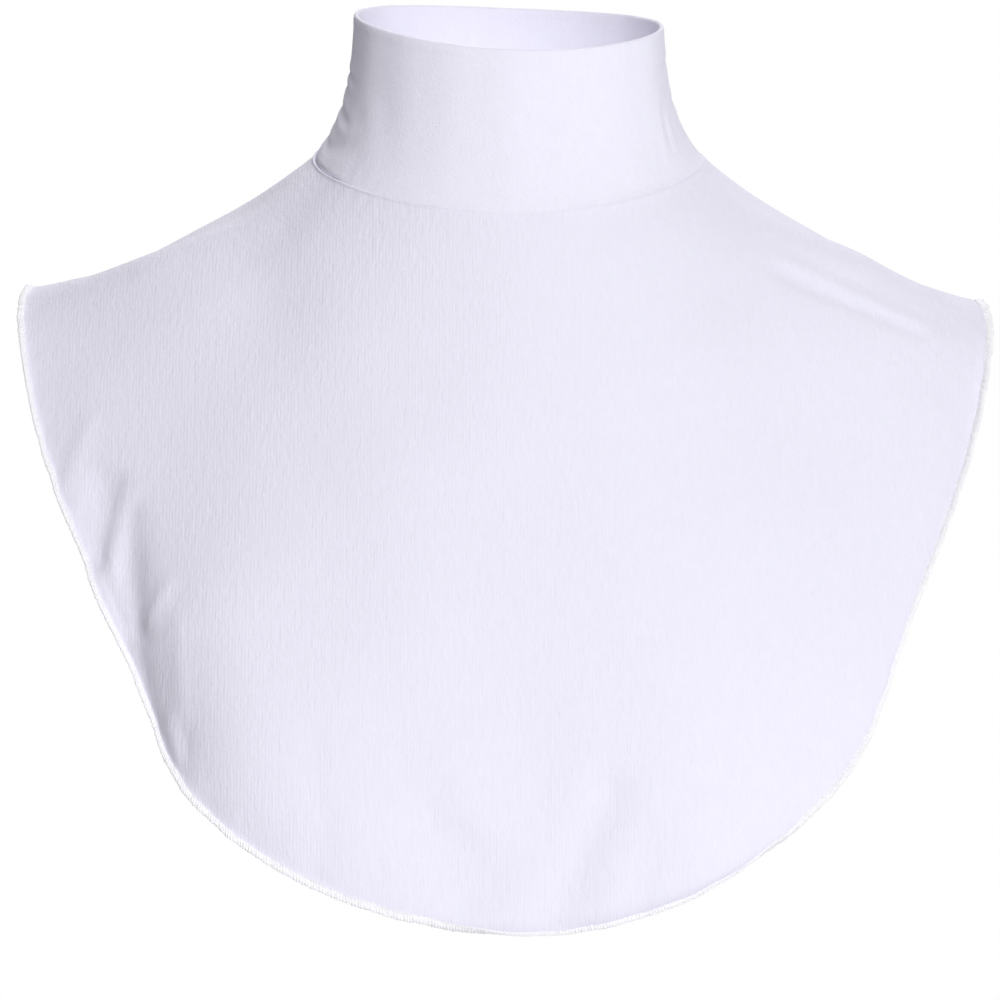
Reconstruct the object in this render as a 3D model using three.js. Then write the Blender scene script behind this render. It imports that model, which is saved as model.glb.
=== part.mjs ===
// A false collar in fine white jersey: a standing collar on a yoke that covers the chest, the shoulders
// and the upper back, with a stitched edge all round. It is a thing that is worn, and keeps that form.
// Millimetres and degrees, +Z up, the front towards -Y. The origin is the middle of the neck seam.

import * as THREE from 'three';

// The rings of the collar: the neck seam, level 0 at the shoulders, and the folded rim at the top.
// A ring's height is given at the front, side and back, and roll lifts its left side and lowers its right.
const SEAM = { halfWidth: 71, halfDepth: 58, centre: 0, front: -22.5, side: 0, back: 10, roll: 0.5 };
const RIM = { halfWidth: 56.4, halfDepth: 48, centre: -4, front: 35, side: 49.5, back: 57.5, roll: 2.2 };
// The collar widens a little all the way down, and most of it just above the seam.
const COLLAR_TAPER = 0.2;
const COLLAR_FLARE_POWER = 3.3;
const COLLAR_WALL = 2;

// The yoke, by the lines that run from the neck seam to the free edge, from the front centre (0 degrees)
// over the shoulder (90) to the back centre (180). Each row says where its line ends: how far sideways
// and forward of the origin, and how far below it. leave and arrive are the line's slopes below level
// at the seam and at the edge, and full is how far its middle stands out, negative where it lies back.
const YOKE_LINES = [
  { angle: 0, across: 0, forward: 110, drop: 275, leave: 69, arrive: 95, full: -3 },
  { angle: 15, across: 66.5, forward: 109, drop: 260.5, leave: 68, arrive: 99, full: -7 },
  { angle: 30, across: 119, forward: 92, drop: 220.5, leave: 64, arrive: 92, full: -7 },
  { angle: 45, across: 144.5, forward: 65, drop: 163, leave: 59, arrive: 79, full: -3 },
  { angle: 60, across: 167, forward: 38, drop: 107, leave: 52, arrive: 66, full: 0 },
  { angle: 75, across: 176.5, forward: 16, drop: 66, leave: 42, arrive: 36, full: 3 },
  { angle: 90, across: 175, forward: -10, drop: 50.3, leave: 39, arrive: 8, full: 0 },
  { angle: 105, across: 172, forward: -38, drop: 61, leave: 39, arrive: 32, full: 2 },
  { angle: 120, across: 158, forward: -62, drop: 88, leave: 40, arrive: 56, full: 6 },
  { angle: 135, across: 132, forward: -80, drop: 125, leave: 45, arrive: 74, full: 8 },
  { angle: 150, across: 98, forward: -90, drop: 163, leave: 50, arrive: 84, full: 6 },
  { angle: 165, across: 53, forward: -94, drop: 190, leave: 54, arrive: 89, full: 4 },
  { angle: 180, across: 0, forward: -95, drop: 200, leave: 56, arrive: 90, full: 3 },
];
// The edge hangs a little to the left, and its left side higher than its right.
const YOKE_SHIFT = -1.3;
const YOKE_ROLL = 2.6;
const YOKE_WALL = 1.2;

// Soft folds on the front of the yoke, as straight lines in the front view from one point (x, z) to
// another. height is how far the cloth stands out along the line, negative for a hollow, and width is
// the distance at which a seventh of that is left.
const FOLDS = {
  rightShoulderSwell: { x1: 128, z1: -39, x2: 148, z2: -48, height: 2, width: 30 },
  rightShoulderRidge: { x1: 92, z1: -34, x2: 147, z2: -60, height: 0.7, width: 12 },
  leftSideHollow: { x1: -145.5, z1: -119, x2: -150.5, z2: -146, height: -2.2, width: 7.5 },
  leftLowHollow: { x1: -137, z1: -130, x2: -133.5, z2: -169, height: -3.4, width: 9 },
  leftLowHollowEnd: { x1: -138, z1: -187, x2: -131.5, z2: -210, height: -7.5, width: 25 },
  leftLowSwell: { x1: -97, z1: -165, x2: -80, z2: -235, height: 1.2, width: 36 },
  bottomMiddleHollow: { x1: 35, z1: -226, x2: 15, z2: -270, height: -2, width: 10 },
  bottomLeftHollow: { x1: -29, z1: -240, x2: -13, z2: -259, height: -1, width: 15 },
};

// The stitched edge: a flat bead of thread, this wide and thick.
const BEAD_WIDTH = 2.6;
const BEAD_THICKNESS = 2;
const BEAD_SIDES = 5;

// Neighbouring pieces keep this gap.
const GAP = 0.3;

// Facets: steps round the neck, down the collar and down the yoke.
const STEPS_ROUND = 96;
const STEPS_COLLAR = 7;
const STEPS_YOKE = 15;

const UP = new THREE.Vector3(0, 0, 1);
const TURN = 2 * Math.PI;

const lerp = THREE.MathUtils.lerp;
const rad = THREE.MathUtils.degToRad;

// The outward direction, seen from above, at an angle round the neck.
function outward(angle) {
  return new THREE.Vector3(Math.sin(angle), -Math.cos(angle), 0);
}

// The height of a ring at an angle.
function ringHeight(ring, angle) {
  const c = Math.cos(angle);
  const tilt = (ring.front - ring.back) / 2;
  const saddle = (ring.front + ring.back) / 2 - ring.side;
  return ring.side + tilt * c + saddle * c * c - ring.roll * Math.sin(angle);
}

// A point of the collar's outer face: fall is 0 at the rim and 1 at the seam.
function collarPoint(angle, fall) {
  const flare = COLLAR_TAPER * fall + (1 - COLLAR_TAPER) * fall ** COLLAR_FLARE_POWER;
  return new THREE.Vector3(
    lerp(RIM.halfWidth, SEAM.halfWidth, flare) * Math.sin(angle),
    lerp(RIM.centre, SEAM.centre, flare) - lerp(RIM.halfDepth, SEAM.halfDepth, flare) * Math.cos(angle),
    lerp(ringHeight(RIM, angle), ringHeight(SEAM, angle), fall),
  );
}

// The row of YOKE_LINES at any whole place, going on past the front and back centre as a mirror image.
function yokeRow(place) {
  const last = YOKE_LINES.length - 1;
  const turned = ((place % (2 * last)) + 2 * last) % (2 * last);
  const row = YOKE_LINES[turned > last ? 2 * last - turned : turned];
  return turned > last ? { ...row, across: -row.across } : row;
}

// The columns of YOKE_LINES at an angle, on a smooth curve through the rows.
function yokeLine(angle) {
  const place = angle / rad(YOKE_LINES[1].angle);
  const start = Math.floor(place);
  const u = place - start;
  const rows = [-1, 0, 1, 2].map((step) => yokeRow(start + step));
  const line = {};
  for (const column of ['across', 'forward', 'drop', 'leave', 'arrive', 'full']) {
    const [before, from, to, after] = rows.map((row) => row[column]);
    const bend = 2 * before - 5 * from + 4 * to - after;
    const twist = -before + 3 * from - 3 * to + after;
    line[column] = (2 * from + (to - before) * u + bend * u * u + twist * u ** 3) / 2;
  }
  return line;
}

// How far the folds lift the cloth at a point of the front view.
function foldLift(x, z) {
  let lift = 0;
  for (const fold of Object.values(FOLDS)) {
    const dx = fold.x2 - fold.x1;
    const dz = fold.z2 - fold.z1;
    const along = ((x - fold.x1) * dx + (z - fold.z1) * dz) / (dx * dx + dz * dz);
    const near = THREE.MathUtils.clamp(along, 0, 1);
    const distance = Math.hypot(x - fold.x1 - near * dx, z - fold.z1 - near * dz);
    lift += fold.height * Math.exp(-((distance / fold.width) ** 2) * 2);
  }
  return lift;
}

// A point of the yoke's smooth outer face, before the folds: run is 0 at the seam and 1 at the edge.
function yokeSmooth(angle, run) {
  const line = yokeLine(angle);
  const start = collarPoint(angle, 1);
  const low = line.drop + YOKE_ROLL * Math.sin(angle);
  const end = new THREE.Vector3(line.across + YOKE_SHIFT, -line.forward, -low);
  const handle = start.distanceTo(end) / 3;
  const slope = (degrees) =>
    outward(angle)
      .multiplyScalar(handle * Math.cos(rad(degrees)))
      .addScaledVector(UP, -handle * Math.sin(rad(degrees)));
  const curve = new THREE.CubicBezierCurve3(
    start,
    start.clone().add(slope(line.leave)),
    end.clone().sub(slope(line.arrive)),
    end,
  );
  const swell = line.full * (4 * run * (1 - run)) ** 1.5;
  return curve.getPoint(run).addScaledVector(outward(angle), swell);
}

// The unit normal of a face given as point(angle, run), pointing out of the cloth.
function normalOf(point, angle, run) {
  const step = 1e-3;
  const round = point(angle + step, run).sub(point(angle - step, run));
  const low = Math.max(run - step, 0);
  const high = Math.min(run + step, 1);
  const down = point(angle, high).sub(point(angle, low));
  return down.cross(round).normalize();
}

// A point of the yoke's outer face with its folds, which fade at the seam and just behind the shoulder.
function yokePoint(angle, run) {
  const smooth = yokeSmooth(angle, run);
  const front = THREE.MathUtils.smoothstep(Math.cos(angle), -0.4, 0);
  const lift = foldLift(smooth.x, smooth.z) * front * THREE.MathUtils.smoothstep(run, 0, 0.15);
  return smooth.addScaledVector(normalOf(yokeSmooth, angle, run), lift);
}

// The direction square to the cloth at the seam, shared by the collar and the yoke.
function seamNormal(angle) {
  return normalOf(collarPoint, angle, 1).add(normalOf(yokeSmooth, angle, 0)).normalize();
}

// The share of a line's run that is a given length, measured at one of its ends.
function shareOf(point, angle, run, length) {
  const step = 1e-3;
  const other = run > 0.5 ? run - step : run + step;
  return (length * step) / point(angle, run).distanceTo(point(angle, other));
}

// A closed solid from a closed loop of points at each angle round the neck.
function ringSolid(loopAt) {
  const loops = [];
  for (let i = 0; i < STEPS_ROUND; i += 1) {
    loops.push(loopAt((TURN * i) / STEPS_ROUND));
  }
  const size = loops[0].length;
  const faces = [];
  for (let i = 0; i < STEPS_ROUND; i += 1) {
    for (let j = 0; j < size; j += 1) {
      const here = i * size;
      const next = ((i + 1) % STEPS_ROUND) * size;
      const k = (j + 1) % size;
      faces.push(here + j, here + k, next + k, here + j, next + k, next + j);
    }
  }
  const geometry = new THREE.BufferGeometry().setFromPoints(loops.flat());
  geometry.setIndex(faces);
  geometry.computeVertexNormals();
  return geometry;
}

// The collar: its outer face down to the seam, then its inner face up to the rounded fold at the rim.
function collarGeometry() {
  return ringSolid((angle) => {
    const end = 1 - shareOf(collarPoint, angle, 1, GAP / 2);
    const outer = [];
    const inner = [];
    for (let j = 0; j <= STEPS_COLLAR; j += 1) {
      const fall = (end * j) / STEPS_COLLAR;
      const normal = j < STEPS_COLLAR ? normalOf(collarPoint, angle, fall) : seamNormal(angle);
      const point = collarPoint(angle, fall);
      outer.push(point);
      inner.unshift(point.clone().addScaledVector(normal, -COLLAR_WALL));
    }
    const fold = outer[0].clone().lerp(inner[STEPS_COLLAR], 0.5).addScaledVector(UP, COLLAR_WALL / 2);
    return [...outer, ...inner, fold];
  });
}

// The yoke: its outer face from the seam to the stitched edge, then its inner face back to the seam.
function yokeGeometry() {
  return ringSolid((angle) => {
    const first = shareOf(yokePoint, angle, 0, GAP / 2);
    const last = 1 - shareOf(yokePoint, angle, 1, BEAD_WIDTH + GAP);
    const outer = [];
    const inner = [];
    for (let j = 0; j <= STEPS_YOKE; j += 1) {
      const run = lerp(first, last, j / STEPS_YOKE);
      const normal = j > 0 ? normalOf(yokePoint, angle, run) : seamNormal(angle);
      const point = yokePoint(angle, run);
      outer.push(point);
      inner.unshift(point.clone().addScaledVector(normal, -YOKE_WALL));
    }
    return [...outer, ...inner];
  });
}

// The stitched edge: a bead that is centred on the thickness of the cloth, just past its cut edge.
function beadGeometry() {
  return ringSolid((angle) => {
    const run = 1 - shareOf(yokePoint, angle, 1, BEAD_WIDTH / 2);
    const normal = normalOf(yokePoint, angle, run);
    const along = yokePoint(angle, 1).sub(yokePoint(angle, run)).normalize();
    const centre = yokePoint(angle, run).addScaledVector(normal, -YOKE_WALL / 2);
    const loop = [];
    for (let j = 0; j < BEAD_SIDES; j += 1) {
      const turn = (TURN * j) / BEAD_SIDES;
      loop.push(
        centre
          .clone()
          .addScaledVector(along, (BEAD_WIDTH / 2) * Math.cos(turn))
          .addScaledVector(normal, (-BEAD_THICKNESS / 2) * Math.sin(turn)),
      );
    }
    return loop;
  });
}

// A named piece in its own cloth or thread.
function piece(name, geometry, color, roughness) {
  const mesh = new THREE.Mesh(geometry, new THREE.MeshStandardMaterial({ color, roughness, metalness: 0 }));
  mesh.name = name;
  return mesh;
}

const neckCover = new THREE.Group();
neckCover.name = 'neck_cover';
neckCover.add(
  piece('collar', collarGeometry(), 0xefedfb, 0.85),
  piece('yoke', yokeGeometry(), 0xebe9f6, 0.85),
  piece('edge_overlock', beadGeometry(), 0xf3f1ff, 0.75),
);

export default neckCover;
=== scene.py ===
import math

import bpy
import numpy as np
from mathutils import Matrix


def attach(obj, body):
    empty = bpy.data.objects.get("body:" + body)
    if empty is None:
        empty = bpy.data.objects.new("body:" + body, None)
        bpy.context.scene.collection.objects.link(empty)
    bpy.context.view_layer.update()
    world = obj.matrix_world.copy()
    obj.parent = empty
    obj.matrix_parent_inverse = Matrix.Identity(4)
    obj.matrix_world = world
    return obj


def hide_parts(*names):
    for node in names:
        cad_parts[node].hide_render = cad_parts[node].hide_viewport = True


# The looks of a false collar in white jersey: a doubled standing collar, the yoke that covers the chest,
# the shoulders and the upper back, and the overlocked edge. Shapes are worked out in millimetres and
# degrees, in the frame's own directions, and each mesh is then written in metres. Points are arrays whose
# first axis goes round the neck, from the front centre over the wearer's left shoulder to the back.
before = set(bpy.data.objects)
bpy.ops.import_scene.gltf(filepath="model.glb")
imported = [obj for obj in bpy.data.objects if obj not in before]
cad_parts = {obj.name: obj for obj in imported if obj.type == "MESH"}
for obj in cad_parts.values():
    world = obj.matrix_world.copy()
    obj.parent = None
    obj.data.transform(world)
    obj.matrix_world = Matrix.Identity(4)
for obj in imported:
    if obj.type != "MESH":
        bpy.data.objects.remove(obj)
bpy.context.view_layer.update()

MM = 0.001
TURN = 2 * math.pi
UP = np.array([0.0, 0.0, 1.0])
# The step over which directions on a face are measured.
SMALL = 1e-3

# The rings of the collar, the slope of its sides and the lines of the yoke are those of the solids.
SEAM = dict(half_width=71, half_depth=58, centre=0, front=-22.5, side=0, back=10, roll=0.5)
RIM = dict(half_width=56.4, half_depth=48, centre=-4, front=35, side=49.5, back=57.5, roll=2.2)
COLLAR_TAPER = 0.2
COLLAR_FLARE_POWER = 3.3

# The columns are: how far the line's end lies across, forward of and below the origin, the slope below
# level with which the line leaves the seam and arrives at the edge, and how far its middle stands out,
# negative where it lies back.
YOKE_LINE_ANGLE = 15
YOKE_LINES = np.array(
    [
        (0, 110, 275, 69, 95, -3),
        (66.5, 109, 260.5, 68, 99, -7),
        (119, 92, 220.5, 64, 92, -7),
        (144.5, 65, 163, 59, 79, -3),
        (167, 38, 107, 52, 66, 0),
        (176.5, 16, 66, 42, 36, 3),
        (175, -10, 50.3, 39, 8, 0),
        (172, -38, 61, 39, 32, 2),
        (158, -62, 88, 40, 56, 6),
        (132, -80, 125, 45, 74, 8),
        (98, -90, 163, 50, 84, 6),
        (53, -94, 190, 54, 89, 4),
        (0, -95, 200, 56, 90, 3),
    ]
)
MIRROR = np.array([-1, 1, 1, 1, 1, 1])
YOKE_SHIFT = -1.3
YOKE_ROLL = 2.6

# Folds are straight lines in the front view: x1, z1, x2, z2, the height, negative for a hollow, and the
# distance from the line at which a seventh of it is left. These are the solids' own.
MAIN_FOLDS = np.array(
    [
        (128, -39, 148, -48, 2, 30),
        (92, -34, 147, -60, 0.7, 12),
        (-145.5, -119, -150.5, -146, -2.2, 7.5),
        (-137, -130, -133.5, -169, -3.4, 9),
        (-138, -187, -131.5, -210, -7.5, 25),
        (-97, -165, -80, -235, 1.2, 36),
        (35, -226, 15, -270, -2, 10),
        (-29, -240, -13, -259, -1, 15),
    ]
)
# The finer creases, in the same columns: first those on the wearer's left shoulder.
FINE_FOLDS = np.array(
    [
        (98, -43, 147, -64, -0.7, 4.5),
        (102, -47, 148, -63.6, -0.22, 2.6),
        (92, -34, 147, -60, -0.45, 12),
        (86, -32, 106, -41.5, 0.15, 3.4),
        (101, -39, 148, -60.5, 0.2, 3.6),
        (94, -31, 148, -58, -0.3, 3.6),
        (124, -43, 160, -59.5, -0.9, 8),
        (92, -27, 128, -40.5, 0.8, 7),
        # The wearer's right shoulder, and both sides of the neck.
        (-176, -50, -160, -44, 0.7, 8),
        (-133, -42, -123, -38.5, 0.5, 5),
        (-97, -19, -88, -48, -2.2, 24),
        (-70, -5, -81, -23, -0.9, 12),
        (84, -18, 76, -45, -1.2, 22),
        # The side of the chest and the hem at the wearer's right.
        (-100, -168, -88, -222, 2, 26),
        (-150.5, -98, -159.5, -121, 0.8, 5),
        (-139.5, -118, -146.5, -146, -1, 4.5),
        (-136, -125, -141.5, -151, 0.5, 4),
        (-137, -128, -136.5, -138, 1.5, 8),
        (-127, -168, -120, -155, 0.9, 3.5),
        (-115.5, -168, -114.5, -200, 0.5, 4.5),
        (-119, -203, -114.5, -216, 1.2, 4),
        (-113, -208, -113.5, -220, -0.7, 3),
        (-145, -144, -142, -156, -0.6, 2.6),
        (-140, -160, -137, -168, -0.6, 2.4),
        (-130.5, -180, -125, -204, -0.9, 4),
        # The bottom of the front.
        (-82, -246, -85, -258, -0.4, 5),
        (-68, -210, -62.5, -246, -0.45, 6),
        (-68, -247, -67, -256, -0.6, 4),
        (-22, -218, -8, -244, 0.45, 10),
        (-27, -236, -5, -253, -0.55, 7),
        (9, -206, 12, -236, -0.5, 16),
        (49, -246, 45, -266, -0.8, 6),
        (62, -262, 58, -270, -0.4, 5),
    ]
)
# Creases of the collar, where the neck presses it: the angle at both ends, the height above the seam as
# a share of the collar's at both ends, the depth and the width in millimetres.
COLLAR_CREASES = np.array(
    [
        (-116, -70, 0.63, 0.57, -0.4, 2.2),
        (-112, -80, 0.53, 0.50, -0.35, 1.8),
        (-110, -66, 0.40, 0.30, -0.45, 2.6),
        (-104, -76, 0.16, 0.10, -0.4, 2.2),
        (-82, -60, 0.08, 0.24, -0.5, 4.5),
        (-48, -59, 0.02, 0.6, 0.3, 6.5),
        (70, 65, 0.52, 0.14, -0.35, 2.6),
        (60, 56, 0.28, 0.10, -0.2, 2.2),
        (64, 104, 0.70, 0.78, -0.25, 2.6),
        (74, 110, 0.40, 0.50, -0.3, 2.6),
        (145, 196, 0.52, 0.46, -0.3, 3.0),
        (212, 172, 0.26, 0.31, -0.3, 3.2),
    ]
)
# Beside each of them the cloth moves the other way: this many widths from it and by this share.
BESIDE_PLACE = 1.3
BESIDE_SHARE = 0.6

# Fine waves of the cloth: how many go round the neck, or how long they are, and how high they are.
SEAM_WAVES = dict(counts=(43, 51, 58, 67), height=0.12)
HEM_WAVES = dict(counts=(71, 83, 96, 108), height=0.3)
HEM_SWAY = dict(counts=(64, 79, 93, 110), height=0.28)
UPRIGHT_WAVES = dict(lengths=(47, 71, 103), height=0.22)
LEVEL_WAVES = dict(lengths=(61, 97), height=0.2)
COLLAR_WAVES = dict(counts=(7, 11, 17), height=0.16)
COLLAR_SEAM_WAVES = dict(counts=(47, 55, 63), height=0.08)

# The free edge bends over this distance. The columns are the angle round the neck and the bend in
# radians, negative where the cloth rolls under.
BEND_LENGTH = 4.5
EDGE_BENDS = np.array(
    [
        (-180, 0.3),
        (-120, 0.5),
        (-95, 0.35),
        (-80, 0.55),
        (-60, 0.75),
        (-45, 0.75),
        (-30, 0.65),
        (-18, 0.6),
        (-10, 0.5),
        (-5, 0),
        (-1, -1.4),
        (3, -2.2),
        (14, -2.2),
        (21, -1.2),
        (25, 0.3),
        (30, 0.6),
        (34, 0.4),
        (38, -0.2),
        (46, 0.2),
        (52, 0.5),
        (60, 0.7),
        (73, 0.6),
        (84, 0.3),
        (90, 0.3),
        (120, 0.4),
    ]
)
# For each radian of bend, the edge is drawn in by this share of BEND_LENGTH where it bends outward, and
# let out by this share where it rolls under.
DRAWN_IN = 0.17
LET_OUT = 0.42

# Thicknesses: the yoke's cloth, each of the collar's two layers and the room between them.
CLOTH = 0.8
LAYER = 0.72
LAYER_GAP = 0.2
# The half width of the groove along the neck seam.
GROOVE = 0.5

# The overlocked edge: its bead, and how far the core lies inside the bead and the looped threads sink in.
BEAD_WIDTH = 2.6
BEAD_THICKNESS = 1.3
CORE_INSET = 0.02
THREAD_SUNK = 0.15
THREAD_SIDES = 5
# How much the stitches of a looped thread differ: in their place, reach across, height and thickness.
STITCH_SPREADS = (0.12, 0.09, 0.1, 0.12)

# The yoke's mesh: its lines round the neck, the even steps down each line, and the closer places before
# and after them, in millimetres from the seam and from the edge.
YOKE_ANGLES = 576
BODY_STEPS = 62
SEAM_PLACES = np.array([0, 0.2, 0.4, 0.6, 0.85, 1.1, 1.4, 1.8, 2.3, 3, 4, 5.2, 6.8])
HEM_PLACES = np.array([9, 7.4, 6.2, 5.3, 4.5, 3.8, 3.2, 2.7, 2.2, 1.8, 1.5, 1.3])
# At how many places a line of the yoke is measured.
LENGTH_SAMPLES = 241
# The collar's mesh: its lines round the neck, the points down each face, the power by which they crowd
# towards the seam, and the points of the folds over the rim, outside and inside.
COLLAR_ANGLES = 384
COLLAR_STEPS = 60
COLLAR_CROWDING = 1.25
OVER_STEPS = 7
UNDER_STEPS = 3
# Corners turn sharp from this angle on.
CORNER_DEGREES = 60

seeded = np.random.default_rng(11)


def mix(a, b, share):
    return a + (b - a) * share


def smooth_step(x, low, high):
    t = np.clip((x - low) / (high - low), 0, 1)
    return t * t * (3 - 2 * t)


def hump(x, middle, width):
    """1 at the middle, and about a third of that one width to either side."""
    return np.exp(-(((x - middle) / width) ** 2))


def fade(distance, reach):
    """1 at the start, and about a third of that at the reach."""
    return np.exp(-distance / reach)


def unit(vectors):
    return vectors / np.linalg.norm(vectors, axis=-1, keepdims=True)


def outward(angle):
    """The outward direction, seen from above, at each angle round the neck."""
    return np.stack([np.sin(angle), -np.cos(angle), np.zeros_like(angle)], -1)


def on_front(angle):
    """1 on the front half, and fading to 0 just behind the shoulders."""
    return smooth_step(np.cos(angle), -0.4, 0)


def on_back(angle):
    return smooth_step(-np.cos(angle), 0, 0.6)


def ring_height(ring, angle):
    c = np.cos(angle)
    tilt = (ring["front"] - ring["back"]) / 2
    saddle = (ring["front"] + ring["back"]) / 2 - ring["side"]
    return ring["side"] + tilt * c + saddle * c * c - ring["roll"] * np.sin(angle)


def collar_point(angle, fall):
    """The collar's smooth outer face: fall is 0 at the rim and 1 at the seam."""
    angle, fall = np.broadcast_arrays(angle, fall)
    flare = COLLAR_TAPER * fall + (1 - COLLAR_TAPER) * fall**COLLAR_FLARE_POWER
    half_width = mix(RIM["half_width"], SEAM["half_width"], flare)
    half_depth = mix(RIM["half_depth"], SEAM["half_depth"], flare)
    centre = mix(RIM["centre"], SEAM["centre"], flare)
    height = mix(ring_height(RIM, angle), ring_height(SEAM, angle), fall)
    return np.stack([half_width * np.sin(angle), centre - half_depth * np.cos(angle), height], -1)


def yoke_columns(angle):
    """The columns of YOKE_LINES at each angle, on a smooth curve through the rows."""
    around = np.concatenate([YOKE_LINES, YOKE_LINES[-2:0:-1] * MIRROR])
    place = angle / math.radians(YOKE_LINE_ANGLE)
    start = np.floor(place).astype(int)
    u = (place - start)[..., None]
    before, here, there, after = (around[(start + step) % len(around)] for step in (-1, 0, 1, 2))
    bend = 2 * before - 5 * here + 4 * there - after
    twist = -before + 3 * here - 3 * there + after
    return np.moveaxis((2 * here + (there - before) * u + bend * u**2 + twist * u**3) / 2, -1, 0)


def yoke_smooth(angle, run):
    """The yoke's smooth outer face: run is 0 at the seam and 1 at the edge."""
    angle, run = np.broadcast_arrays(angle, run)
    across, forward, drop, leave, arrive, full = yoke_columns(angle)
    start = collar_point(angle, np.ones_like(angle))
    end = np.stack([across + YOKE_SHIFT, -forward, -(drop + YOKE_ROLL * np.sin(angle))], -1)
    handle = np.linalg.norm(end - start, axis=-1) / 3
    out = outward(angle)

    def slope(degrees):
        level = handle * np.cos(np.radians(degrees))
        down = handle * np.sin(np.radians(degrees))
        return level[..., None] * out - down[..., None] * UP

    t = run[..., None]
    curve = (1 - t) ** 3 * start + t**3 * end
    curve = curve + 3 * (1 - t) ** 2 * t * (start + slope(leave))
    curve = curve + 3 * (1 - t) * t**2 * (end - slope(arrive))
    swell = full * np.clip(4 * run * (1 - run), 0, 1) ** 1.5
    return curve + swell[..., None] * out


def way_down(point, angle, run):
    """A short way down a face that is given as point(angle, run)."""
    return point(angle, np.minimum(run + SMALL, 1)) - point(angle, np.maximum(run - SMALL, 0))


def normal_of(point, angle, run):
    """The unit normal of such a face, pointing out of the cloth."""
    round_neck = point(angle + SMALL, run) - point(angle - SMALL, run)
    return unit(np.cross(way_down(point, angle, run), round_neck))


def crease(distance, width):
    """1 on the crease's line, and a seventh of that one width away."""
    return np.exp(-2 * (distance / width) ** 2)


def fold_lift(x, z, folds):
    """How far the folds lift the cloth at points of the front view."""
    lift = np.zeros_like(x)
    for x1, z1, x2, z2, height, width in folds:
        dx, dz = x2 - x1, z2 - z1
        near = np.clip(((x - x1) * dx + (z - z1) * dz) / (dx * dx + dz * dz), 0, 1)
        distance = np.hypot(x - x1 - near * dx, z - z1 - near * dz)
        lift += height * crease(distance, width)
    return lift


def yoke_point(angle, run):
    """The yoke's outer face with its main folds, which are on the front only."""
    smooth = yoke_smooth(angle, run)
    lift = fold_lift(smooth[..., 0], smooth[..., 2], MAIN_FOLDS)
    lift = lift * on_front(angle) * smooth_step(run, 0, 0.15)
    return smooth + lift[..., None] * normal_of(yoke_smooth, angle, run)


def waves(place, lengths, height):
    """A sum of waves of the given lengths along place, with random starts and random strengths."""
    total = np.zeros_like(place)
    for length in lengths:
        total += seeded.uniform(0.5, 1) * np.sin(TURN * (place / length + seeded.uniform()))
    return height * total / math.sqrt(len(lengths))


def round_waves(angle, counts, height):
    """The same, with a whole number of waves round the neck, so that they close."""
    return waves(angle / TURN, [1 / count for count in counts], height)


def flat_places(angle, run, length):
    """Where each point lies on the flat cloth, in millimetres: across, and from front to back."""
    across = np.sin(angle) * (SEAM["half_width"] + run * length)
    along = -np.cos(angle) * (SEAM["half_depth"] + run * length)
    return across, along


def wale_places(points):
    """The cloth's coordinates in millimetres: across its wales, which hang upright, and along them."""
    top_depth = 30
    front = np.tanh(-points[..., 1] / top_depth)
    along = -points[..., 1] - front * points[..., 2]
    return np.stack([points[..., 0], along, np.zeros_like(along)], -1)


def mesh_object(name, points, faces, cloth):
    """A smooth mesh in metres from points in millimetres, which keeps its cloth coordinates."""
    mesh = bpy.data.meshes.new(name)
    mesh.from_pydata((points.reshape(-1, 3) * MM).tolist(), [], faces.tolist())
    mesh.shade_smooth()
    held = mesh.attributes.new("cloth", "FLOAT_VECTOR", "POINT")
    held.data.foreach_set("vector", cloth.reshape(-1, 3).astype(np.float32).ravel())
    made = bpy.data.objects.new(name, mesh)
    bpy.context.scene.collection.objects.link(made)
    return made


def ring_faces(rings, size):
    """The faces between closed loops of size points, from each loop to the next and round to the first."""
    i, j = np.meshgrid(np.arange(rings), np.arange(size), indexing="ij")
    here, there = i * size, (i + 1) % rings * size
    k = (j + 1) % size
    return np.stack([here + j, here + k, there + k, there + j], -1).reshape(-1, 4)


def ring_object(name, loops, cloth):
    return mesh_object(name, loops, ring_faces(*loops.shape[:2]), cloth)


def cloth_object(name, loops, cloth):
    """The same, with sharp corners only where the cloth is cut."""
    made = ring_object(name, loops, cloth)
    made.data.set_sharp_from_angle(angle=math.radians(CORNER_DEGREES))
    return made


def lengths_along(points):
    """How far each point lies along its own row of points."""
    steps = np.linalg.norm(np.diff(points, axis=1), axis=-1)
    return np.concatenate([np.zeros((len(points), 1)), np.cumsum(steps, 1)], 1)


def yoke_runs(angle):
    """The runs of the yoke's points on each line, how far they lie from the seam, and the line's length."""
    run = np.linspace(0, 1, LENGTH_SAMPLES)[None, :]
    along = lengths_along(yoke_smooth(angle, run))
    total = along[:, -1:]
    first = np.broadcast_to(SEAM_PLACES, (len(total), len(SEAM_PLACES)))
    last = total - HEM_PLACES
    share = np.linspace(0, 1, BODY_STEPS)[None, 1:-1]
    places = np.concatenate([first, mix(first[:, -1:], last[:, :1], share), last], 1)
    return np.stack([np.interp(p, a, run[0]) for p, a in zip(places, along)]), places, total


def seam_groove(angle, distance, width):
    """The groove of the neck seam: deep at the wearer's right, hardly there elsewhere."""
    right = smooth_step(-np.sin(angle), 0.3, 0.9)
    right_end = smooth_step(-np.sin(angle), 0.78, 0.97)
    left = smooth_step(np.sin(angle), 0.45, 1)
    depth = 0.06 * right + 0.65 * right_end + 0.03 * left + 0.1 * on_back(angle)
    return depth * hump(distance, 0, width)


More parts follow.
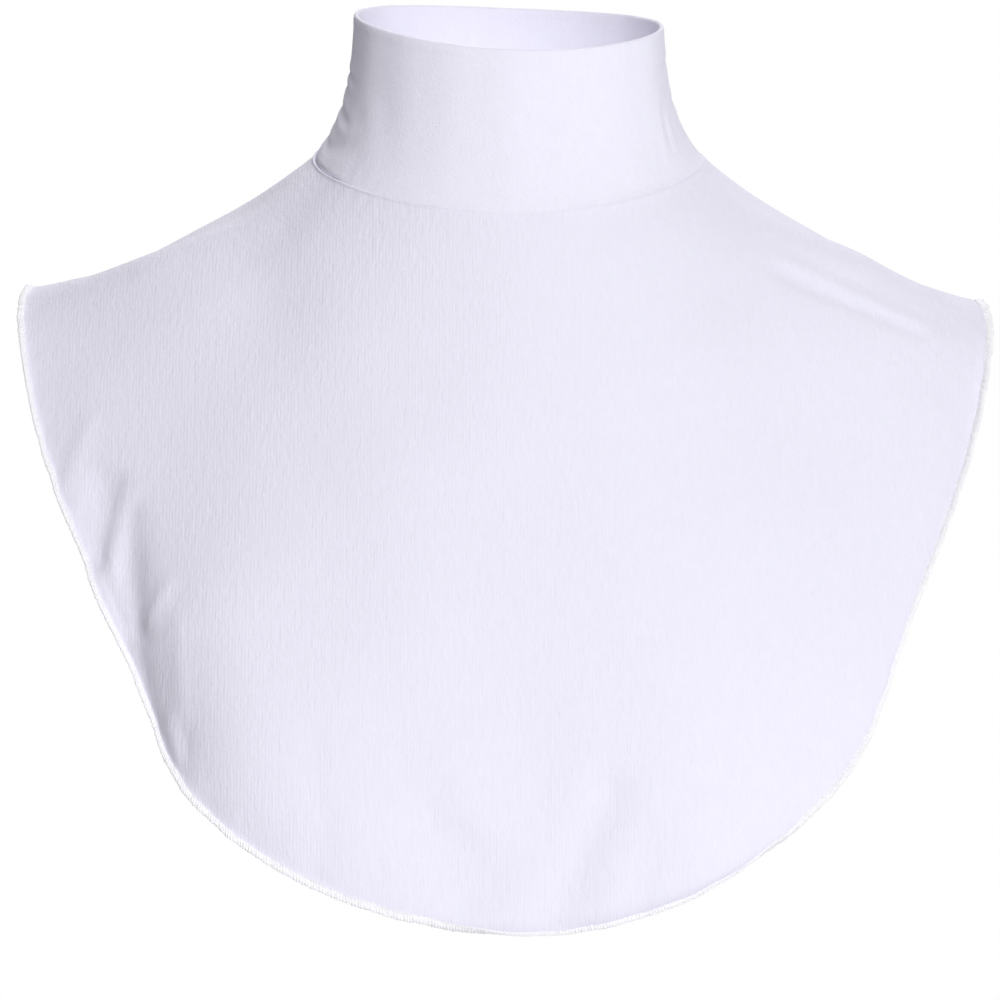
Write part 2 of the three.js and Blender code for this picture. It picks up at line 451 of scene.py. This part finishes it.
def seam_welt(angle, place):
    """The seam's welt, by the distance below the seam, negative above it: sharp on the wearer's right."""
    sine = np.sin(angle)
    sharp = 0.5 * smooth_step(-sine, 0.08, 0.45) * hump(place, 0.8, 0.55)
    broad = (0.12 + 0.33 * smooth_step(sine, 0.1, 0.6)) * hump(place, 0.9, 2.1)
    return np.where(place > 0, sharp, 0) + broad + 0.2 * on_back(angle) * hump(place, 1.2, 1.2)


def seam_strength(angle):
    """How much the seam gathers the cloth beside it."""
    return 0.25 + 0.75 * smooth_step(-np.sin(angle), 0, 0.9) + 0.35 * smooth_step(np.sin(angle), 0.4, 1)


def yoke_relief(angle, run, points, place, total):
    """How far the cloth's fine creases and waves, its seam and its stitch line lift the yoke."""
    from_edge = total - place
    lift = fold_lift(points[..., 0], points[..., 2], FINE_FOLDS) * on_front(angle)
    lift += seam_welt(angle, place) - seam_groove(angle, place, GROOVE)
    gathers = round_waves(angle, **SEAM_WAVES) * fade(place, 9) * smooth_step(place, 0, 3)
    lift += seam_strength(angle) * gathers
    lift += round_waves(angle, **HEM_WAVES) * fade(from_edge, 7)
    # At the wearer's left the needle's line sinks in just inside the bead.
    stitch_line = smooth_step(np.sin(angle), 0.5, 0.95) * hump(from_edge, BEAD_WIDTH + 0.5, 0.5)
    lift -= 0.35 * stitch_line
    across, along = flat_places(angle, run, total)
    below_seam = smooth_step(place, 5, 60)
    lift += waves(across + 0.35 * along, **UPRIGHT_WAVES) * below_seam
    lift += waves(along - 0.4 * across, **LEVEL_WAVES) * below_seam
    return lift


def edge_bend(angle, from_edge):
    """How the bent free edge moves along the cloth and outward, and how far it turns."""
    degrees = np.degrees(angle)
    nearby = [np.interp(degrees + step, *EDGE_BENDS.T, period=360) for step in (-3, -1, 1, 3)]
    bend = np.mean(nearby, axis=0)
    share = np.clip(1 - (from_edge - BEAD_WIDTH / 2) / BEND_LENGTH, 0, 1)
    drawn = np.where(bend > 0, DRAWN_IN, LET_OUT) * bend
    # The turn grows as share squared, and these are the first terms of the way that the cloth then takes.
    along = -(bend**2) * share**5 / 10 + bend**4 * share**9 / 216 - drawn * share**2
    out = bend * share**3 / 3 - bend**3 * share**7 / 42 + bend**5 * share**11 / 1320
    return BEND_LENGTH * along, BEND_LENGTH * out, bend * share**2


def yoke_sheet():
    """The yoke as one sheet of cloth. Also gives its edge, as points, normals and directions out."""
    angle = np.arange(YOKE_ANGLES)[:, None] * (TURN / YOKE_ANGLES)
    run, place, total = yoke_runs(angle)
    from_edge = total - place
    points = yoke_point(angle, run)
    normal = normal_of(yoke_point, angle, run)
    along = unit(way_down(yoke_point, angle, run))
    cloth = wale_places(points)

    edge_along, edge_out, turn = edge_bend(angle, from_edge)
    lift = yoke_relief(angle, run, points, place, total) + edge_out
    sway = round_waves(angle, **HEM_SWAY) * fade(from_edge, 6) + edge_along
    points = points + lift[..., None] * normal + sway[..., None] * along

    turn = turn[..., None]
    up = np.cos(turn) * normal - np.sin(turn) * along
    out = np.cos(turn) * along + np.sin(turn) * normal
    depth = CLOTH + 0.7 * seam_strength(angle) * hump(place, 0, 1.5)
    inner = points - depth[..., None] * up
    loops = np.concatenate([points, inner[:, ::-1]], 1)
    cloth = np.concatenate([cloth, cloth[:, ::-1]], 1)
    edge = points[:, -1] - (CLOTH / 2) * up[:, -1]
    return cloth_object("yoke_cloth", loops, cloth), edge, up[:, -1], out[:, -1]


def collar_creases(angle, fall):
    """How far the creases lift the collar's outer layer."""
    lift = np.zeros(np.broadcast_shapes(angle.shape, fall.shape))
    round_mm = math.radians(1) * (RIM["half_width"] + RIM["half_depth"]) / 2
    height = ring_height(RIM, angle) - ring_height(SEAM, angle)
    up = (1 - fall) * height
    for angle1, angle2, up1, up2, depth, width in COLLAR_CREASES:
        turned = (np.degrees(angle) - (angle1 + angle2) / 2 + 180) % 360 - 180
        x = turned * round_mm
        half = (angle2 - angle1) / 2 * round_mm
        rise = (up2 - up1) * height / 2
        middle = (up1 + up2) / 2 * height
        near = np.clip((x * half + (up - middle) * rise) / (half * half + rise * rise), -1, 1)
        distance = np.hypot(x - near * half, up - middle - near * rise)
        profile = crease(distance, width) - BESIDE_SHARE * crease(distance - BESIDE_PLACE * width, width)
        lift += depth * profile * (1 - near**2)
    return lift


def collar_relief(angle, fall, to_seam):
    """How far its creases and waves and the seam lift the collar."""
    lift = collar_creases(angle, fall) + seam_welt(angle, -to_seam)
    lift -= seam_groove(angle, to_seam, 1.6 * GROOVE)
    lift += round_waves(angle, **COLLAR_WAVES) * smooth_step(to_seam, 0, 12)
    gathers = round_waves(angle, **COLLAR_SEAM_WAVES) * fade(to_seam, 7) * smooth_step(to_seam, 0, 3)
    return lift + seam_strength(angle) * gathers


def rim_fold(first, last, count):
    """Half a turn over the rim from one layer's top to the other's."""
    middle = (first + last) / 2
    arm = first - middle
    turn = (np.arange(1, count + 1) * (math.pi / (count + 1)))[None, :, None]
    reach = np.linalg.norm(arm, axis=-1, keepdims=True)[:, None]
    return middle[:, None] + np.cos(turn) * arm[:, None] + np.sin(turn) * reach * UP


def collar_sheet():
    """The collar as one sheet, folded over at the rim, its two layers open towards the seam."""
    angle = np.arange(COLLAR_ANGLES)[:, None] * (TURN / COLLAR_ANGLES)
    share = np.linspace(0, 1, COLLAR_STEPS)[None, :]
    fall = 1 - (1 - share) ** COLLAR_CROWDING
    smooth = collar_point(angle, fall)
    normal = normal_of(collar_point, angle, fall)
    down = lengths_along(smooth)

    relief = collar_relief(angle, fall, down[:, -1:] - down)
    roll = 0.2 * hump(down, 1.4, 1.5) * (0.45 + 0.55 * smooth_step(-np.sin(angle), -0.5, 0.8))
    outer_lift = relief + roll
    inner_lift = 0.5 * relief - roll

    def face(lift, depth):
        return smooth + (lift - depth)[..., None] * normal

    outer = face(outer_lift, 0)
    outer_back = face(outer_lift, LAYER)
    inner_back = face(inner_lift, LAYER + LAYER_GAP)
    inner = face(inner_lift, 2 * LAYER + LAYER_GAP)
    under = rim_fold(outer_back[:, 0], inner_back[:, 0], UNDER_STEPS)
    over = rim_fold(inner[:, 0], outer[:, 0], OVER_STEPS)
    loops = np.concatenate([outer, outer_back[:, ::-1], under, inner_back, inner[:, ::-1], over], 1)

    rim = np.zeros((COLLAR_ANGLES, OVER_STEPS))
    along = np.concatenate([down, down[:, ::-1], rim[:, :UNDER_STEPS], down, down[:, ::-1], rim], 1)
    radius = (SEAM["half_width"] + RIM["half_width"]) / 2
    cloth = np.stack(np.broadcast_arrays(radius * np.sin(angle), along, -radius * np.cos(angle)), -1)
    return cloth_object("collar_cloth", loops, cloth)


class EdgeLine:
    """The closed line along the yoke's edge, by distance along it: points, normals and directions out."""

    def __init__(self, points, normal, out):
        once = np.concatenate([points, normal, out], 1)
        self.columns = np.concatenate([once, once[:1]])
        steps = np.linalg.norm(np.diff(self.columns[:, :3], axis=0), axis=1)
        self.places = np.concatenate([[0], np.cumsum(steps)])
        self.length = self.places[-1]

    def at(self, place):
        found = np.stack([np.interp(place % self.length, self.places, c) for c in self.columns.T], -1)
        return found[..., :3], unit(found[..., 3:6]), unit(found[..., 6:])


def edge_core(edge):
    """The flat bead that the thread wraps, which is the cloth's edge inside it."""
    steps, sides = 1100, 10
    place = np.arange(steps) * edge.length / steps
    points, normal, out = edge.at(place)
    turn = (np.arange(sides) * TURN / sides)[None, :, None]
    across = (BEAD_WIDTH / 2 - CORE_INSET) * np.cos(turn) * out[:, None]
    upright = (BEAD_THICKNESS / 2 - CORE_INSET) * np.sin(turn) * normal[:, None]
    loops = points[:, None] + across - upright
    around, along = np.meshgrid(np.arange(sides), place)
    return ring_object("edge_core", loops, np.stack([around, along, around], -1))


def thread(name, points, beside, radius):
    """A closed thread along points. beside is a direction across it at each point."""
    tangent = unit(np.roll(points, -1, 0) - np.roll(points, 1, 0))
    first = unit(beside - (beside * tangent).sum(-1, keepdims=True) * tangent)
    second = np.cross(tangent, first)
    turn = (np.arange(THREAD_SIDES) * TURN / THREAD_SIDES)[None, :, None]
    spokes = np.cos(turn) * first[:, None] - np.sin(turn) * second[:, None]
    steps = np.linalg.norm(np.roll(points, -1, 0) - points, axis=1)
    place = np.concatenate([[0], np.cumsum(steps)[:-1]])
    loops = points[:, None] + radius[:, None, None] * spokes
    around, along = np.meshgrid(np.arange(THREAD_SIDES) / THREAD_SIDES, place)
    return ring_object(name, loops, np.stack([around, along, np.zeros_like(along)], -1))


def looper(name, edge, pitch, slant, start, radius):
    """A thread that goes round and round the edge, slanting one way on the face."""
    per_stitch = 12
    stitches = round(edge.length / pitch)
    step = np.arange(stitches * per_stitch)
    turn = TURN * (step / per_stitch + start)
    stitch = step // per_stitch
    uneven, wide, high, fat = seeded.normal(0, STITCH_SPREADS, (stitches, 4))[stitch].T
    place = (step / per_stitch) * edge.length / stitches + slant * np.cos(turn) + uneven
    points, normal, out = edge.at(place)
    reach = BEAD_WIDTH / 2 * (1 + wide)
    height = BEAD_THICKNESS / 2 * (1 + high) - THREAD_SUNK
    beside = (np.sin(turn) * reach)[:, None] * out + (np.cos(turn) * height)[:, None] * normal
    # The thread is thicker at the very edge, where the two looped threads lock.
    at_edge = np.clip(np.sin(turn), 0, 1) ** 6
    return thread(name, points + beside, beside, radius * (1 + fat) * (1 + 0.3 * at_edge))


def needle_line(name, edge, stitch_length, radius):
    """The straight row of stitches on the inner side of the overlock, which dips at each stitch's end."""
    per_stitch = 8
    beside_bead, dip, rise = 0.1, 0.08, 0.16
    stitches = round(edge.length / stitch_length)
    step = np.arange(stitches * per_stitch)
    points, normal, out = edge.at(step * edge.length / len(step))
    up = CLOTH / 2 - dip + rise * np.abs(np.sin(math.pi * step / per_stitch)) ** 0.6
    points = points - (BEAD_WIDTH / 2 + beside_bead) * out + up[:, None] * normal
    return thread(name, points, normal, np.full(len(step), radius))


def material(name, colour, roughness, sheen):
    """A new cloth material, with its node tree, its shader and its cloth coordinates."""
    made = bpy.data.materials.new(name)
    made.use_nodes = True
    tree = made.node_tree
    tree.nodes.clear()
    out = tree.nodes.new("ShaderNodeOutputMaterial")
    shader = tree.nodes.new("ShaderNodeBsdfPrincipled")
    tree.links.new(shader.outputs["BSDF"], out.inputs["Surface"])
    shader.inputs["Base Color"].default_value = (*colour, 1)
    shader.inputs["Roughness"].default_value = roughness
    shader.inputs["Specular IOR Level"].default_value = 0.25
    shader.inputs["Sheen Weight"].default_value = sheen
    shader.inputs["Sheen Roughness"].default_value = 0.45
    shader.inputs["Sheen Tint"].default_value = (0.95, 0.94, 1, 1)
    cloth = tree.nodes.new("ShaderNodeAttribute")
    cloth.attribute_name = "cloth"
    return made, tree, shader, cloth.outputs["Vector"]


def scaled(tree, place, scale):
    mapping = tree.nodes.new("ShaderNodeMapping")
    mapping.inputs["Scale"].default_value = scale
    tree.links.new(place, mapping.inputs["Vector"])
    return mapping.outputs["Vector"]


def stretched_noise(tree, place, size, detail=2.0, waver=0.0):
    """Noise whose grains have the given size in millimetres along each coordinate, and waver."""
    noise = tree.nodes.new("ShaderNodeTexNoise")
    noise.inputs["Scale"].default_value = 1
    noise.inputs["Detail"].default_value = detail
    noise.inputs["Roughness"].default_value = 0.6
    noise.inputs["Distortion"].default_value = waver
    tree.links.new(scaled(tree, place, [1 / s for s in size]), noise.inputs["Vector"])
    return noise.outputs["Fac"]


# The wave node turns its coordinate into this many radians for each unit.
WAVE_NODE_RADIANS = 20


def ribs(tree, place, spacing, bend):
    """Fine ribs across the x coordinate, spacing millimetres apart, which waver by bend."""
    wave = tree.nodes.new("ShaderNodeTexWave")
    wave.bands_direction = "X"
    wave.inputs["Scale"].default_value = TURN / WAVE_NODE_RADIANS
    wave.inputs["Distortion"].default_value = bend
    wave.inputs["Detail"].default_value = 2
    wave.inputs["Detail Scale"].default_value = 0.6
    scale = (1 / spacing, 0.03 / spacing, 0.03 / spacing)
    tree.links.new(scaled(tree, place, scale), wave.inputs["Vector"])
    return wave.outputs["Fac"]


def weighted(tree, parts):
    """The sum of (value, weight) parts."""
    total = None
    for value, weight in parts:
        node = tree.nodes.new("ShaderNodeMath")
        node.operation = "MULTIPLY_ADD"
        node.inputs[1].default_value = weight
        tree.links.new(value, node.inputs[0])
        if total is None:
            node.inputs[2].default_value = 0
        else:
            tree.links.new(total, node.inputs[2])
        total = node.outputs[0]
    return total


def coloured(tree, shader, value, dark, light, low, high):
    """Colours the shader from dark to light as value goes from low to high."""
    ramp = tree.nodes.new("ShaderNodeMapRange")
    ramp.inputs["From Min"].default_value = low
    ramp.inputs["From Max"].default_value = high
    tree.links.new(value, ramp.inputs["Value"])
    blend = tree.nodes.new("ShaderNodeMix")
    blend.data_type = "RGBA"
    blend.inputs["A"].default_value = (*dark, 1)
    blend.inputs["B"].default_value = (*light, 1)
    tree.links.new(ramp.outputs["Result"], blend.inputs["Factor"])
    tree.links.new(blend.outputs["Result"], shader.inputs["Base Color"])


def bumped(tree, shader, value, height_mm, strength):
    bump = tree.nodes.new("ShaderNodeBump")
    bump.inputs["Distance"].default_value = height_mm * MM
    bump.inputs["Strength"].default_value = strength
    tree.links.new(value, bump.inputs["Height"])
    tree.links.new(bump.outputs["Normal"], shader.inputs["Normal"])


# The jersey's colours, where doubled cloth is lighter, and what share of them is left between the streaks.
WHITE = (0.805, 0.79, 0.9)
DOUBLED_WHITE = (0.83, 0.815, 0.925)
SHADE = 0.976
THREAD_WHITE = (0.94, 0.93, 0.96)
THREAD_SHADE = (0.89, 0.88, 0.91)
# The sizes of the jersey's grains and the distance between its wales, in millimetres.
STREAK_SIZE = (1.8, 7, 1.8)
FUZZ_SIZE = (0.8, 1.1, 0.8)
CLOUD_SIZE = (34, 52, 34)
WALE_SPACING = 1.194


def jersey(name, white, streak_share, relief):
    """Fine white jersey with faint wavering streaks along its wales and a little fuzz."""
    made, tree, shader, place = material(name, white, 0.88, 0.12)
    streaks = stretched_noise(tree, place, STREAK_SIZE, 2, 0.5)
    fuzz = stretched_noise(tree, place, FUZZ_SIZE, 3)
    clouds = stretched_noise(tree, place, CLOUD_SIZE, 2)
    wales = ribs(tree, place, WALE_SPACING, 2.2)
    shade = weighted(tree, [(streaks, 0.6), (fuzz, 0.25), (clouds, 0.15)])
    coloured(tree, shader, shade, [SHADE * part for part in white], white, 0.35, 0.65)
    wale_share = 0.1 * streak_share
    fuzz_share = 1 - streak_share - wale_share
    height = weighted(tree, [(streaks, streak_share), (wales, wale_share), (fuzz, fuzz_share)])
    bumped(tree, shader, height, 0.7, relief)
    return made


def sewing_thread(name):
    """White thread with slanting plies and a little lint."""
    made, tree, shader, place = material(name, THREAD_WHITE, 0.7, 0.2)
    plies = tree.nodes.new("ShaderNodeTexWave")
    plies.bands_direction = "DIAGONAL"
    plies.inputs["Scale"].default_value = 1
    tree.links.new(scaled(tree, place, (2, 1.1, 1)), plies.inputs["Vector"])
    lint = stretched_noise(tree, place, (0.5, 0.7, 0.5), 2)
    shade = weighted(tree, [(plies.outputs["Fac"], 0.4), (lint, 0.6)])
    coloured(tree, shader, shade, THREAD_SHADE, THREAD_WHITE, 0.3, 0.7)
    height = weighted(tree, [(plies.outputs["Fac"], 0.6), (lint, 0.4)])
    bumped(tree, shader, height, 0.08, 0.5)
    return made


def pale_floor():
    """A plain pale round floor below the cover, which the front view doesn't reach."""
    count = 96
    radius, thickness, level = 1100, 20, -450
    turn = np.arange(count) * TURN / count
    top = np.stack([radius * np.cos(turn), radius * np.sin(turn), np.full(count, level)], -1)
    low = top - thickness * UP
    i = np.arange(count)
    following = (i + 1) % count
    faces = np.stack([i, i + count, following + count, following], -1).tolist()
    faces += [i.tolist(), (i[::-1] + count).tolist()]
    mesh = bpy.data.meshes.new("floor")
    mesh.from_pydata((np.concatenate([top, low]) * MM).tolist(), [], faces)
    floor = bpy.data.objects.new("floor", mesh)
    bpy.context.scene.collection.objects.link(floor)
    made = bpy.data.materials.new("floor_paint")
    made.use_nodes = True
    shader = made.node_tree.nodes["Principled BSDF"]
    shader.inputs["Base Color"].default_value = (0.86, 0.86, 0.87, 1)
    shader.inputs["Roughness"].default_value = 0.8
    shader.inputs["Emission Color"].default_value = (1, 1, 1, 1)
    shader.inputs["Emission Strength"].default_value = 0.12
    mesh.materials.append(made)


# The lights are aimed at this height on the middle axis, in metres. An azimuth is measured from the front
# towards the wearer's left.
LIGHT_AIM = -0.11
LIGHT_DISTANCE = 2.6
LIGHT_SIZE = 1.6


def soft_light(name, azimuth, elevation, radiance):
    """A square soft light, aimed at the cover."""
    a, e = math.radians(azimuth), math.radians(elevation)
    toward = np.array([math.sin(a) * math.cos(e), -math.cos(a) * math.cos(e), math.sin(e)])
    data = bpy.data.lights.new(name, "AREA")
    data.shape = "SQUARE"
    data.size = LIGHT_SIZE
    data.energy = radiance * math.pi * LIGHT_DISTANCE**2 * math.pi
    light = bpy.data.objects.new(name, data)
    light.location = LIGHT_AIM * UP + LIGHT_DISTANCE * toward
    light.rotation_euler = (math.pi / 2 - e, 0, a)
    bpy.context.scene.collection.objects.link(light)


def world_light(ambient):
    """Even light from all round, in front of a white background."""
    world = bpy.data.worlds.new("studio")
    bpy.context.scene.world = world
    world.use_nodes = True
    tree = world.node_tree
    tree.nodes.clear()
    out = tree.nodes.new("ShaderNodeOutputWorld")
    seen, around = (tree.nodes.new("ShaderNodeBackground") for _ in range(2))
    seen.inputs["Color"].default_value = (1, 1, 1, 1)
    around.inputs["Color"].default_value = (ambient, ambient, ambient, 1)
    path = tree.nodes.new("ShaderNodeLightPath")
    either = tree.nodes.new("ShaderNodeMixShader")
    tree.links.new(path.outputs["Is Camera Ray"], either.inputs["Fac"])
    tree.links.new(around.outputs["Background"], either.inputs[1])
    tree.links.new(seen.outputs["Background"], either.inputs[2])
    tree.links.new(either.outputs["Shader"], out.inputs["Surface"])


def camera():
    """The photograph's view, level and straight from the front."""
    sensor, width, distance = 36, 0.365, 2.2
    middle_x, middle_z = -0.0033, -0.1248
    data = bpy.data.cameras.new("camera")
    data.sensor_width = sensor
    data.lens = sensor * distance / width
    made = bpy.data.objects.new("camera", data)
    made.location = (middle_x, -distance, middle_z)
    made.rotation_euler = (math.pi / 2, 0, 0)
    bpy.context.scene.collection.objects.link(made)
    bpy.context.scene.camera = made


camera()
yoke, edge_points, edge_normal, edge_out = yoke_sheet()
collar = collar_sheet()
edge = EdgeLine(edge_points, edge_normal, edge_out)
core = edge_core(edge)
upper = looper("overlock_upper_thread", edge, pitch=1.1, slant=0.4, start=0, radius=0.31)
lower = looper("overlock_lower_thread", edge, pitch=1.1, slant=-0.25, start=0.45, radius=0.28)
needle = needle_line("overlock_needle_thread", edge, stitch_length=2.3, radius=0.13)

yoke_material = jersey("yoke_jersey", WHITE, streak_share=0.7, relief=0.6)
collar_material = jersey("collar_jersey", DOUBLED_WHITE, streak_share=0.25, relief=0.45)
thread_material = sewing_thread("edge_thread")
for piece, finish, slot in (
    (yoke, yoke_material, "yoke_jersey"),
    (collar, collar_material, "collar_jersey"),
    (core, thread_material, "edge_thread"),
    (upper, thread_material, "edge_thread"),
    (lower, thread_material, "edge_thread"),
    (needle, thread_material, "edge_thread"),
):
    piece.data.materials.append(finish)
    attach(piece, "root")
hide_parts("yoke")
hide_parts("collar")
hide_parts("edge_overlock")

pale_floor()
world_light(0.04)
# The columns are the light's name, azimuth, elevation and radiance.
for light in (
    ("key", 15, 24, 0.945),
    ("right_side", 110, 0, 0.28),
    ("top_left", -110, 55, 0.16),
    ("top_back", 180, 45, 0.64),
):
    soft_light(*light)
bpy.context.scene.view_settings.view_transform = "Standard"
